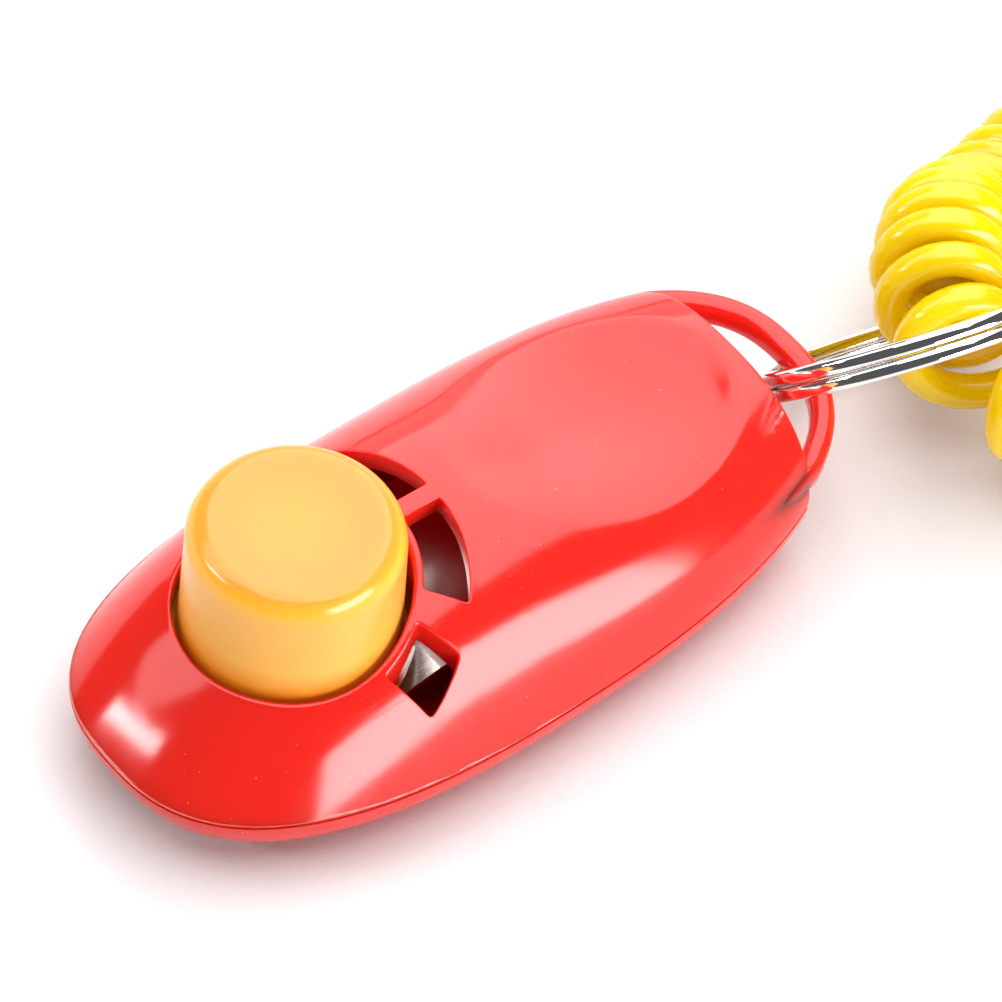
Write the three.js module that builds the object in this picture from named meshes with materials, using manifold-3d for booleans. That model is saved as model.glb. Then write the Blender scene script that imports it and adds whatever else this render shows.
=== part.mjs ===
// A dog-training clicker: an oval two-part case with a raised push button, a spring-steel click reed
// inside, a loop at one end, a split key ring through the loop, and a coiled wrist strap on the ring.
// Units are millimetres. The case stands on z = 0, centred on x = y = 0, with its loop towards +X.
import * as THREE from 'three';
import { ParametricGeometry } from 'three/addons/geometries/ParametricGeometry.js';
import { mergeVertices } from 'three/addons/utils/BufferGeometryUtils.js';
import Module from 'manifold-3d';

const wasm = await Module();
wasm.setup();

// ---------------------------------------------------------------- driving dimensions

// Case: an oval of half length and half width, its ends squarer than an ellipse's.
const halfLength = 34;
const halfWidth = 15.8;
const ovalPower = 2.56;
const ovalTaper = 0.049; // the loop end is this fraction narrower
const partingHeight = 5; // seam between the two shells at mid length
const partingRise = 1.5; // the seam climbs this much towards both ends
const domeHeight = 12.2; // top shell above the seam, at mid length
const wall = 1.7;
const gap = 0.3; // between neighbouring pieces
const endWallX = 26.5; // where the case is cut off square, before the loop

// Thumb dish in the top of the case, deepest towards the loop.
const dish = { x: 11.9, length: 13.1, width: 9.6, depth: 2.4, lean: 0.5 };

// Button and the round opening that it rises through.
const buttonX = -17;
const openingRadius = 9.1;
const collarRadius = 9.75;
const collarBottom = 10.4;
const buttonTop = 23.5;
const buttonTopRadius = 8.4;
const crown = { width: 1.9, height: 2.3 }; // the rounding of the button's top edge
const buttonBaseRadius = 8.62;
const flangeRadius = 9.8;
const flangeBottom = 9.1;
const stemBottom = 7.9;

// Sound slots around the button, on the side of the dish.
const slotInner = 9.8;
const slotOuter = 13.4;
const slotRib = 0.8; // half width of the rib on the centre line
const slotAngle = 41.5; // end of the first slot, in degrees from the centre line
const sideSlotAngle = 55.7; // start of the second slot
const sideSlotWidth = 4.35;

// Loop: a bar that carries the oval on past the square end.
const loopTop = 9.3;
const loopBottom = 6.8;
const loopWidth = 2;

// Click reed, a creased strip of spring steel held by two screws.
const reed = { clampEnd: 18, clampX: 13, creaseX: -8.7, tipX: -23, clampZ: 7, creaseZ: 7.6, tipZ: 7 };
const reedWidth = 16.6;
const reedThickness = 0.4;
const reedScrewSpacing = 8.4;
const postTop = 6.5;

// Case screws, driven from below.
const caseScrews = [
  { x: -29.4, headBottom: 1.8, tip: 8.4, post: 2.2, seat: 3.2 },
  { x: 21.8, headBottom: 0.8, tip: 10.6, post: 2.4, seat: 3.4 },
];
const screwShaft = 1;
const screwHead = 2;
const screwHeadHeight = 1.3;

// Split key ring: two flat turns side by side.
const ringRadius = 11.8;
const ringBand = 1.8; // across each turn, inside to outside
const ringTurn = 1.2; // thickness of each turn
const ringCentre = new THREE.Vector3(39.5, -6.5, 10.8);
const ringHeading = -25.2; // the ring's long way, in degrees from +X
const ringRise = 14.2;
const ringNormal = new THREE.Vector3(0.18, 0.76, 0.63);

// Wrist strap: a coiled cord, drawn as one tube of the coil's outer size, closed by a sleeve.
const coilRadius = 5.75;
const sleeveRadius = 3.2;
const sleeveEnds = [new THREE.Vector3(92.8, -9.1, 5.8), new THREE.Vector3(92.6, -17.5, 5.8)];
const strapPoints = [
  [92.8, -8, 5.8], [91.8, -3.4, 5.8], [88, 1.2, 5.8], [82.4, 4.2, 5.8], [76, 5.4, 5.8],
  [70, 5.1, 5.8], [64, 4.3, 5.8], [58.8, 3.4, 5.9], [54.8, 2.2, 7.3], [51.6, 1.2, 9.9],
  [48.7, -0.8, 12.1], [45.3, -3.8, 12.6], [43.2, -8.2, 11.1], [44, -12.8, 9], [47.4, -16.4, 8.1],
  [52.2, -19.2, 7.8], [57.2, -22.6, 7], [62.8, -26.4, 6.2], [69, -29.4, 5.8],
  [76.2, -30.4, 5.8], [82.8, -29.4, 5.8], [88.2, -26.8, 5.8], [91.6, -22.8, 5.8], [92.6, -18.6, 5.8],
];

// ---------------------------------------------------------------- solids

// A closed geometry as a manifold solid, its faces turned outwards and needle triangles dropped.
function toSolid(geometry) {
  const plain = geometry.clone();
  plain.deleteAttribute('normal');
  plain.deleteAttribute('uv');
  const merged = mergeVertices(plain, 1e-4);
  const points = merged.attributes.position.array;
  const triangles = [];
  for (let i = 0; i < merged.index.count; i += 3) {
    const [a, b, c] = [0, 1, 2].map((k) => merged.index.getX(i + k));
    if (a !== b && b !== c && c !== a) triangles.push([a, b, c]);
  }
  const corner = (i) => new THREE.Vector3().fromArray(points, 3 * i);
  const volume = triangles.reduce(
    (sum, [a, b, c]) => sum + corner(a).dot(corner(b).cross(corner(c))), 0);
  const outward = volume < 0 ? triangles.map(([a, b, c]) => [a, c, b]) : triangles;
  return new wasm.Manifold(new wasm.Mesh({
    numProp: 3,
    vertProperties: Float32Array.from(points),
    triVerts: Uint32Array.from(outward.flat()),
  }));
}

function toGeometry(solid) {
  const mesh = solid.getMesh();
  const geometry = new THREE.BufferGeometry();
  geometry.setAttribute('position', new THREE.BufferAttribute(mesh.vertProperties, 3));
  geometry.setIndex(new THREE.BufferAttribute(mesh.triVerts, 1));
  geometry.computeVertexNormals();
  return geometry;
}

// A round bar along Z from one height to another.
function roundBar(radius, bottom, top, x, y, sides = 24) {
  const bar = new THREE.CylinderGeometry(radius, radius, top - bottom, sides);
  return toSolid(bar.rotateX(Math.PI / 2).translate(x, y, (bottom + top) / 2));
}

// An outline in the XY plane raised from one height to another.
function raised(shape, bottom, top) {
  const slab = new THREE.ExtrudeGeometry(shape, { depth: top - bottom, bevelEnabled: false });
  return toSolid(slab.translate(0, 0, bottom));
}

// An outline in the XZ plane carried across the case along Y.
function across(points, width) {
  const shape = new THREE.Shape(points.map(([x, z]) => new THREE.Vector2(x, z)));
  const slab = new THREE.ExtrudeGeometry(shape, { depth: width, bevelEnabled: false });
  return toSolid(slab.rotateX(Math.PI / 2).translate(0, width / 2, 0));
}

// A lathe-turned piece standing on Z at a place.
function turned(profile, x, y, sides = 24) {
  const points = profile.map(([r, z]) => new THREE.Vector2(r, z));
  return new THREE.LatheGeometry(points, sides).rotateX(Math.PI / 2).translate(x, y, 0);
}

// ---------------------------------------------------------------- shape of the case

const signedPower = (value, power) => Math.sign(value) * Math.abs(value) ** power;
const clamp = THREE.MathUtils.clamp;

// The oval at an angle, drawn in by an inset.
function oval(angle, inset = 0) {
  const x = signedPower(Math.cos(angle), 2 / ovalPower);
  const y = signedPower(Math.sin(angle), 2 / ovalPower);
  return [x * (halfLength - inset), y * (halfWidth - inset) * (1 - ovalTaper * x)];
}

const partingZ = (x) => partingHeight + partingRise * (x / halfLength) ** 2;

// Height of the dome above the seam. Its left end falls away all round; towards the loop the
// cross-section keeps its height and its sides grow steeper.
function domeRise(x, y) {
  const along = clamp(x / halfLength, -1, 1);
  const width = halfWidth * (1 - ovalTaper * along);
  const chord = Math.max(width * (1 - Math.abs(along) ** ovalPower) ** (1 / ovalPower), 0.001);
  const oblique = (Math.abs(along) ** ovalPower + (Math.abs(y) / width) ** ovalPower) ** (1 / ovalPower);
  const blend = THREE.MathUtils.smoothstep(x, 0, 6.5);
  const out = clamp(THREE.MathUtils.lerp(oblique, Math.abs(y) / chord, blend), 0, 1);
  const height = domeHeight * (1 - 0.22 * along - 0.28 * along ** 2);
  const shoulder = 2.85 - 0.57 * along;
  return height * (1 - out ** shoulder) ** clamp(0.873 - 0.52 * along, 0.3, 1);
}

function dishDepth(x, y) {
  const along = (x - dish.x) / dish.length;
  const reach = Math.hypot(along, y / dish.width);
  return dish.depth * (1 + dish.lean * along) * Math.max(1 - reach ** 2, 0);
}

// The whole closed case, or with an inset the hollow inside it. Its underside is flat in the
// middle and turns up to the seam, and its top is the dome with the dish pressed into it.
function caseBody(inset) {
  const around = 60;
  const upward = 30;
  const seam = 11 / upward;
  const flat = 0.72;
  const point = (u, v, target) => {
    const angle = 2 * Math.PI * u;
    const [x0, y0] = oval(angle);
    const [x1, y1] = oval(angle, inset);
    if (v > seam) {
      const out = Math.sin(Math.PI / 2 * (1 - v) / (1 - seam));
      const rise = domeRise(x0 * out, y0 * out) * (1 - inset / domeHeight);
      target.set(x1 * out, y1 * out, partingZ(x1 * out) + rise - dishDepth(x0 * out, y0 * out));
    } else {
      const out = Math.sin(Math.PI / 2 * v / seam);
      const bend = Math.max((out - flat) / (1 - flat), 0);
      const depth = partingZ(x1 * out) - inset;
      target.set(x1 * out, y1 * out, inset + depth * (1 - Math.sqrt(1 - bend ** 2)));
    }
  };
  return toSolid(new ParametricGeometry(point, around, upward));
}

// Everything past the square end, which leans in a little towards the bottom.
function beyondEnd(shift) {
  const x = endWallX + shift;
  return across([[x, 30], [x, 14.6], [x - 0.9, 6], [x - 1.2, -1], [45, -1], [45, 30]], 50);
}

// Everything above or below the seam, kept half a gap clear of it.
function sideOfSeam(above) {
  const edge = [];
  for (let x = -40; x <= 40; x += 4) edge.push([x, partingZ(x) + (above ? gap : -gap) / 2]);
  const far = above ? 40 : -10;
  return across([...edge, [40, far], [-40, far]], 60);
}

// One sound slot between the rib on the centre line and the spoke beside it.
function innerSlot(side) {
  const start = (radius) => Math.asin(slotRib / radius);
  const end = THREE.MathUtils.degToRad(slotAngle);
  const shape = new THREE.Shape();
  shape.absarc(buttonX, 0, slotOuter, side * start(slotOuter), side * end, side < 0);
  shape.absarc(buttonX, 0, slotInner, side * end, side * start(slotInner), side > 0);
  return raised(shape, 9.5, 24);
}

// The slot at the side: two straight parallel ends between the same two circles.
function outerSlot(side) {
  const turn = THREE.MathUtils.degToRad(sideSlotAngle);
  const end = (radius) => turn + Math.asin(sideSlotWidth / radius);
  const shape = new THREE.Shape();
  shape.absarc(buttonX, 0, slotOuter, side * turn, side * end(slotOuter), side < 0);
  shape.absarc(buttonX, 0, slotInner, side * end(slotInner), side * turn, side > 0);
  return raised(shape, 9.5, 24);
}

// The loop's bar: the oval's rim carried on past the square end.
function loopBar() {
  const bevel = 0.5;
  const reach = 1.02; // half angle at which the bar is buried in the case wall
  const steps = 20;
  const rim = (inset) => Array.from({ length: steps + 1 }, (_, i) => {
    const angle = reach * (2 * i / steps - 1);
    return new THREE.Vector2(...oval(angle, inset));
  });
  const shape = new THREE.Shape([...rim(bevel), ...rim(loopWidth - bevel).reverse()]);
  const bar = new THREE.ExtrudeGeometry(shape, {
    depth: loopTop - loopBottom - 2 * bevel,
    bevelThickness: bevel,
    bevelSize: bevel,
    bevelSegments: 2,
  });
  return toSolid(bar.translate(0, 0, loopBottom + bevel));
}

// ---------------------------------------------------------------- pieces

const wholeCase = caseBody(0);

// The room inside the case, which stops short of the end wall.
const caseRoom = caseBody(wall).subtract(beyondEnd(-wall));

function topShell() {
  const collar = roundBar(collarRadius, collarBottom, 24, buttonX, 0, 48).intersect(wholeCase);
  const posts = caseScrews.map(({ x, post }) => roundBar(post, partingZ(x) + gap / 2, 24, x, 0)
    .intersect(wholeCase));
  let shell = wholeCase.subtract(caseRoom).intersect(sideOfSeam(true));
  for (const side of [-1, 1]) shell = shell.subtract(innerSlot(side)).subtract(outerSlot(side));
  shell = shell.add(collar);
  for (const post of posts) shell = shell.add(post);
  shell = shell
    .subtract(roundBar(openingRadius, 2, 30, buttonX, 0, 48))
    .subtract(beyondEnd(0))
    .add(loopBar().subtract(caseRoom.intersect(sideOfSeam(true))));
  for (const { x, tip } of caseScrews) {
    shell = shell.subtract(roundBar(screwShaft + gap, 4, tip + gap, x, 0, 16));
  }
  return toGeometry(shell);
}

function bottomShell() {
  let shell = wholeCase
    .subtract(caseRoom)
    .subtract(beyondEnd(0))
    .intersect(sideOfSeam(false));
  for (const { x, seat } of caseScrews) {
    shell = shell.add(roundBar(seat, 0, partingZ(x) - gap / 2, x, 0)
      .intersect(wholeCase).subtract(beyondEnd(0)));
  }
  const post = new THREE.BoxGeometry(6, 13.6, postTop - 1);
  shell = shell.add(toSolid(post.translate(reed.clampX, 0, (postTop + 1) / 2)));
  for (const { x, headBottom } of caseScrews) {
    shell = shell
      .subtract(roundBar(screwShaft + gap, -1, 9, x, 0, 16))
      .subtract(roundBar(screwHead + gap, -1, headBottom + screwHeadHeight + gap, x, 0));
  }
  for (const side of [-1, 1]) {
    const y = side * reedScrewSpacing / 2;
    shell = shell.subtract(roundBar(screwShaft + gap, 2.2, 9, reed.clampX, y, 16));
  }
  return toGeometry(shell);
}

// The button: a hollow cap with a dished, well rounded top, a stem that meets the reed, and a
// flange that keeps it under the collar.
function button() {
  const roof = buttonTop - 2.2;
  const crownLine = [90, 65, 42, 20, 0].map((degrees) => {
    const turn = THREE.MathUtils.degToRad(degrees);
    return [
      buttonTopRadius - crown.width * (1 - Math.sin(turn)),
      buttonTop - crown.height * (1 - Math.cos(turn)),
    ];
  });
  return turned([
    [0, stemBottom], [2.6, stemBottom], [3, stemBottom + 0.4], [3, roof], [6.9, roof],
    [7.1, flangeBottom], [flangeRadius, flangeBottom], [flangeRadius, flangeBottom + 1],
    [buttonBaseRadius, flangeBottom + 1], ...crownLine, [3.5, buttonTop - 0.25],
    [0, buttonTop - 0.35],
  ], buttonX, 0, 40);
}

function clickReed() {
  const half = reedThickness / 2;
  const line = [
    [reed.clampEnd, reed.clampZ], [reed.clampX - 3.4, reed.clampZ],
    [reed.creaseX, reed.creaseZ], [reed.tipX, reed.tipZ],
  ];
  const under = line.map(([x, z]) => [x, z - half]);
  const over = line.map(([x, z]) => [x, z + half]).reverse();
  let strip = across([...under, ...over], reedWidth);
  for (const side of [-1, 1]) {
    const y = side * reedScrewSpacing / 2;
    strip = strip.subtract(roundBar(screwShaft + gap, 4, 10, reed.clampX, y, 16));
  }
  return toGeometry(strip);
}

// A screw with its shaft up or down from under its head.
function screw(headZ, tipZ, x, y) {
  const towardTip = Math.sign(tipZ - headZ);
  const profile = [
    [0, headZ - towardTip * screwHeadHeight],
    [screwHead * 0.75, headZ - towardTip * screwHeadHeight],
    [screwHead, headZ - towardTip * screwHeadHeight * 0.6],
    [screwHead, headZ], [screwShaft, headZ], [screwShaft, tipZ - towardTip], [0, tipZ],
  ];
  return turned(towardTip > 0 ? profile : profile.reverse(), x, y, 16);
}

// The ring's wire line: nearly two turns that change places where the ends lie.
class SplitRingLine extends THREE.Curve {
  getPoint(t, target = new THREE.Vector3()) {
    const firstEnd = THREE.MathUtils.degToRad(35);
    const angle = THREE.MathUtils.lerp(firstEnd, 4 * Math.PI - firstEnd, t);
    const cross = THREE.MathUtils.smoothstep(angle, 2 * Math.PI - firstEnd, 2 * Math.PI + firstEnd);
    const side = (ringTurn / 2 + 0.06) * (2 * cross - 1);
    return target.set(ringRadius * Math.cos(angle), ringRadius * Math.sin(angle), side);
  }
}

function keyRing() {
  const [w, t] = [ringBand / 2, ringTurn / 2];
  const section = new THREE.Shape([
    [-t, -w + 0.3], [-t + 0.3, -w], [t - 0.3, -w], [t, -w + 0.3],
    [t, w - 0.3], [t - 0.3, w], [-t + 0.3, w], [-t, w - 0.3],
  ].map(([x, y]) => new THREE.Vector2(x, y)));
  return new THREE.ExtrudeGeometry(section, { extrudePath: new SplitRingLine(), steps: 72 });
}

// The way the ring lies: its own X along its long way, its own Z along its axis.
function ringTurnedInPlace() {
  const heading = THREE.MathUtils.degToRad(ringHeading);
  const rise = THREE.MathUtils.degToRad(ringRise);
  const along = new THREE.Vector3(Math.cos(heading), Math.sin(heading), Math.tan(rise)).normalize();
  const sideways = ringNormal.clone().cross(along).normalize();
  const axis = along.clone().cross(sideways);
  return new THREE.Quaternion().setFromRotationMatrix(
    new THREE.Matrix4().makeBasis(along, sideways, axis));
}

function wristCoil() {
  const route = new THREE.CatmullRomCurve3(strapPoints.map((p) => new THREE.Vector3(...p)));
  const section = new THREE.Shape();
  section.absarc(0, 0, coilRadius, 0, 2 * Math.PI);
  return new THREE.ExtrudeGeometry(section, { extrudePath: route, steps: 64, curveSegments: 5 });
}

function coilSleeve() {
  const [from, to] = sleeveEnds;
  const length = from.distanceTo(to);
  const lip = 0.8;
  const profile = [
    [0, 0], [sleeveRadius - lip, 0], [sleeveRadius, lip], [sleeveRadius, length - lip],
    [sleeveRadius - lip, length], [0, length],
  ].map(([r, y]) => new THREE.Vector2(r, y));
  const sleeve = new THREE.LatheGeometry(profile, 20);
  const aim = new THREE.Quaternion().setFromUnitVectors(
    new THREE.Vector3(0, 1, 0), to.clone().sub(from).normalize());
  return sleeve.applyQuaternion(aim).translate(...from);
}

// ---------------------------------------------------------------- assembly

const redPlastic = { color: 0xe0201c, roughness: 0.22, metalness: 0 };
const buttonPlastic = { color: 0xffb24a, roughness: 0.28, metalness: 0 };
const springSteel = { color: 0xb8b4b0, roughness: 0.3, metalness: 1 };
const zincSteel = { color: 0xa8a9ad, roughness: 0.35, metalness: 1 };
const chrome = { color: 0xdddddf, roughness: 0.08, metalness: 1 };
const yellowCord = { color: 0xffe80c, roughness: 0.2, metalness: 0 };

const clicker = new THREE.Group();

function place(name, geometry, finish) {
  const mesh = new THREE.Mesh(geometry, new THREE.MeshStandardMaterial(finish));
  mesh.name = name;
  clicker.add(mesh);
  return mesh;
}

place('top_shell', topShell(), redPlastic);
place('bottom_shell', bottomShell(), redPlastic);
place('button', button(), buttonPlastic);
place('click_reed', clickReed(), springSteel);

const reedScrewHeadZ = reed.clampZ + reedThickness / 2 + gap;
for (const [name, side] of [['reed_screw_left', 1], ['reed_screw_right', -1]]) {
  const y = side * reedScrewSpacing / 2;
  place(name, screw(reedScrewHeadZ, 2.5, reed.clampX, y), zincSteel);
}
const screwNames = ['case_screw_front', 'case_screw_rear'];
caseScrews.forEach(({ x, headBottom, tip }, i) => {
  place(screwNames[i], screw(headBottom + screwHeadHeight, tip, x, 0), zincSteel);
});

const ring = place('key_ring', keyRing(), chrome);
ring.position.copy(ringCentre);
ring.quaternion.copy(ringTurnedInPlace());

place('wrist_coil', wristCoil(), yellowCord);
place('coil_sleeve', coilSleeve(), yellowCord);

export default clicker;
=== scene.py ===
"""Looks of a dog-training clicker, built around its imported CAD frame. Blender 4.5, metres, +Z up.

Shapes are worked out in millimetres in the frame's own axes and scaled to metres as each mesh is made.
"""

import math

import bpy
import numpy as np
from mathutils import Matrix, Vector
from mathutils.geometry import delaunay_2d_cdt


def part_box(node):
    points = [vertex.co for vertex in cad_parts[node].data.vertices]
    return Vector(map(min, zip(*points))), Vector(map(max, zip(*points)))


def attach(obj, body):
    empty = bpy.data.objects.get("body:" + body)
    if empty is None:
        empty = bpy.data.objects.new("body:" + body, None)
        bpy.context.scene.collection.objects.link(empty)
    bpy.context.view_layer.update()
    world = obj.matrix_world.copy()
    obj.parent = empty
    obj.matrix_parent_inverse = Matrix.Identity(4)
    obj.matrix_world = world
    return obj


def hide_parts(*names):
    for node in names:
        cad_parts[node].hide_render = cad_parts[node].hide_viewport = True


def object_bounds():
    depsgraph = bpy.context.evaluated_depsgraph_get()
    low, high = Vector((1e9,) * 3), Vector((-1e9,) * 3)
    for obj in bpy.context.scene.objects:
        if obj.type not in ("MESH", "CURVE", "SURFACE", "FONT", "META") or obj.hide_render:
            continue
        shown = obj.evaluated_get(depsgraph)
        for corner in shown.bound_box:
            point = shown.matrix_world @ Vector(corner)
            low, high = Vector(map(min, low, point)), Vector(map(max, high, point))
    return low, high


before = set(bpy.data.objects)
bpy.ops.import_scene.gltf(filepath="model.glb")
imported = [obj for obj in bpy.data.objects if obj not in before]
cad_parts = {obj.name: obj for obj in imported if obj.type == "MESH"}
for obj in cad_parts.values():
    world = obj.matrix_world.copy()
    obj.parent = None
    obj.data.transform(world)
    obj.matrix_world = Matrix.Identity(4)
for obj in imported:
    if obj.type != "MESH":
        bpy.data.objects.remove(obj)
cad_low, cad_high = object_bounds()

MM = 0.001

# ---------------------------------------------------------------- dimensions, in millimetres

# Case: an oval whose ends are squarer than an ellipse's, in two shells that meet at a curved seam.
HALF_LENGTH = 34.0
HALF_WIDTH = 15.8
OVAL_POWER = 2.56
OVAL_TAPER = 0.049
PARTING_HEIGHT = 5.0
PARTING_RISE = 1.5
DOME_HEIGHT = 12.2
DOME_FALL, DOME_SAG = 0.22, 0.28       # how its height slopes to the loop and arches to both ends, as shares
SHOULDER, SHOULDER_FALL = 2.85, 0.57   # a higher power makes a squarer section; it falls towards the loop
SIDE_POWER, SIDE_POWER_FALL = 0.873, 0.52  # a lower power makes steeper sides; it falls towards the loop
DOME_BLEND = 6.5                       # x at which the round left end has become an arched section
WALL = 1.7
SEAM_GAP = 0.3
FLAT_SHARE = 0.72           # how far out the underside stays flat
END_WALL = [(-1.0, 25.3), (6.0, 25.6), (14.6, 26.5), (30.0, 26.5)]  # height, x

DISH_X, DISH_LENGTH, DISH_WIDTH, DISH_DEPTH, DISH_LEAN = 11.9, 13.1, 9.6, 2.4, 0.5
DISH_SOFTNESS = 0.03

OPENING_RADIUS = 9.1
COLLAR_RADIUS = 9.7
COLLAR_BOTTOM = 10.4
OPENING_FILLET = 0.4
BUTTON_RADIUS, BUTTON_BASE_RADIUS, FLANGE_RADIUS, STEM_RADIUS = 8.4, 8.62, 9.45, 3.0
CROWN_WIDTH, CROWN_HEIGHT = 1.9, 2.3   # rounding of the button's top edge

SLOT_INNER, SLOT_OUTER, SLOT_RIB = 9.85, 13.4, 0.8
SLOT_ANGLE, SIDE_SLOT_ANGLE, SIDE_SLOT_WIDTH = 41.5, 55.7, 4.35
SLOT_FILLET = 0.17

LOOP_TOP, LOOP_BOTTOM, LOOP_WIDTH, LOOP_CORNER = 9.3, 6.8, 2.0, 0.85
LOOP_HALF_ANGLE = 1.2       # of the oval's own angle, in radians; its last third lies in the case's sides

REED_PROFILE = [(-23.0, 7.0), (-12.5, 6.9), (-8.7, 7.6), (9.6, 7.0), (18.0, 7.0)]  # x, height
REED_HALF_WIDTH, REED_THICKNESS, REED_CORNER = 8.3, 0.4, 1.2
DIMPLE_X, DIMPLE_RADIUS, DIMPLE_HEIGHT = 0.5, 7.5, 1.1
POST_X, POST_TOP = 13.0, 6.5

SCREW_HEAD, SCREW_HEAD_HEIGHT, SCREW_SHAFT, SCREW_PLAY = 2.0, 1.3, 1.0, 0.3
THREAD_PITCH, THREAD_DEPTH = 0.7, 0.16
BOSS_RADII = 2.7, 3.4       # round the front and the rear case screw

RING_RADIUS, RING_BAND, RING_TURN, RING_CORNER = 11.8, 1.8, 1.2, 0.42
RING_TURN_GAP = 0.12
RING_WIRE_END = math.radians(35)   # from the ring's long way to either end of its wire
RING_CENTRE = Vector((39.5, -6.5, 10.8))
RING_HEADING, RING_RISE = math.radians(-25.2), math.radians(14.2)
RING_NORMAL = Vector((0.18, 0.76, 0.63))

COIL_WIRE = 2.9
COIL_RADIUS = 4.3           # from the coil's middle line to the wire's
COIL_PITCH = 2.98
COIL_ON_RING = (43.4, -7.6, 11.4)
COIL_LEAN = (-0.67, -0.73, 0.10)   # the way that the leaning turns face
COIL_LEAN_AT, COIL_LEAN_SPAN, COIL_LEAN_SHARE = -6.0, 15.0, 0.9  # along the coil from the ring
COIL_GAP_AT, COIL_GAP_SPAN, COIL_GAP_SHARE = 5.0, 2.6, 1.6       # where its turns are pulled apart
COIL_END_TURNS = 1.1        # over which its turns close in to the sleeve
STRAP_POINTS = [
    (92.8, -8, 5.8), (91.8, -3.4, 5.8), (88, 1.2, 5.8), (82.4, 4.2, 5.8), (76, 5.4, 5.8),
    (70, 5.1, 5.8), (64, 4.3, 5.8), (58.8, 3.4, 5.9), (54.8, 2.2, 7.3), (51.6, 1.2, 9.9),
    (48.7, -0.8, 12.1), (45.3, -3.8, 12.6), (43.2, -8.2, 11.1), (44, -12.8, 9), (47.4, -16.4, 8.1),
    (52.2, -19.2, 7.8), (57.2, -22.6, 7), (62.8, -26.4, 6.2), (69, -29.4, 5.8),
    (76.2, -30.4, 5.8), (82.8, -29.4, 5.8), (88.2, -26.8, 5.8), (91.6, -22.8, 5.8), (92.6, -18.6, 5.8),
]


def centre_of(node):
    low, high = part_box(node)
    return (low + high) / 2 / MM


def top_of(node):
    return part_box(node)[1].z / MM


def bottom_of(node):
    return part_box(node)[0].z / MM


BUTTON = centre_of("button")
SCREWS = [(centre_of("case_screw_front").x, bottom_of("case_screw_front")),
          (centre_of("case_screw_rear").x, bottom_of("case_screw_rear"))]

# ---------------------------------------------------------------- camera


def add_camera():
    """The camera looks down at the clicker from beside its button, a little rolled."""
    azimuth, elevation, roll = (math.radians(a) for a in (-43.822, 51.735, 6.484))
    target = Vector((5.343, 1.771, 7.5)) * MM
    distance = 545.09 * MM
    back = Vector((math.sin(azimuth) * math.cos(elevation),
                   -math.cos(azimuth) * math.cos(elevation), math.sin(elevation)))
    level = Vector((math.cos(azimuth), math.sin(azimuth), 0))
    upright = back.cross(level)
    right = level * math.cos(roll) + upright * math.sin(roll)
    up = upright * math.cos(roll) - level * math.sin(roll)
    camera = bpy.data.objects.new("camera", bpy.data.cameras.new("camera"))
    camera.data.sensor_width = 36
    camera.data.lens = 251.5
    camera.data.clip_start, camera.data.clip_end = 0.01, 20
    place = Matrix((right, up, back)).transposed().to_4x4()
    place.translation = target + back * distance
    camera.matrix_world = place
    bpy.context.scene.collection.objects.link(camera)
    bpy.context.scene.camera = camera


# ---------------------------------------------------------------- mesh building


class Build:
    """Points in millimetres and the faces between them, collected into one mesh."""

    def __init__(self):
        self.points = []
        self.faces = []

    def add(self, points):
        start = len(self.points)
        self.points.extend(tuple(map(float, p)) for p in points)
        return list(range(start, len(self.points)))

    def strip(self, first, second, closed=True, flip=False):
        """Quads between two rows of points, with repeated corners dropped."""
        count = len(first) if closed else len(first) - 1
        for i in range(count):
            j = (i + 1) % len(first)
            corners = [first[i], first[j], second[j], second[i]]
            face = [c for k, c in enumerate(corners) if c != corners[k - 1]]
            if len(face) > 2:
                self.faces.append(face[::-1] if flip else face)

    def chain(self, rows, closed=True, flip=False):
        for first, second in zip(rows, rows[1:]):
            self.strip(first, second, closed, flip)

    def cap(self, row, flip=False):
        self.faces.append(list(row)[::-1] if flip else list(row))

    def mesh(self, name, sharp):
        mesh = bpy.data.meshes.new(name)
        mesh.from_pydata((np.array(self.points) * MM).tolist(), [], self.faces)
        mesh.validate()
        mesh.polygons.foreach_set("use_smooth", [True] * len(mesh.polygons))
        mesh.set_sharp_from_angle(angle=math.radians(sharp))
        mesh.update()
        return mesh


def piece(name, build, material, body, slot, *nodes, sharp=35):
    """A finished piece that rides on a body and stands for CAD nodes."""
    mesh = build.mesh(name, sharp)
    mesh.materials.append(material)
    made = bpy.data.objects.new(name, mesh)
    bpy.context.scene.collection.objects.link(made)
    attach(made, body)
    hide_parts(*nodes)
    return made


def smoothstep(t):
    t = np.clip(t, 0, 1)
    return t * t * (3 - 2 * t)


def inside(points, loop):
    """Which points lie inside a closed loop."""
    x, y = points[:, 0][:, None], points[:, 1][:, None]
    x0, y0 = loop[:, 0], loop[:, 1]
    x1, y1 = np.roll(x0, -1), np.roll(y0, -1)
    crosses = (y0 > y) != (y1 > y)
    with np.errstate(divide="ignore", invalid="ignore"):
        at = x0 + (y - y0) * (x1 - x0) / (y1 - y0)
    return (crosses & (x < at)).sum(1) % 2 == 1


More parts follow.
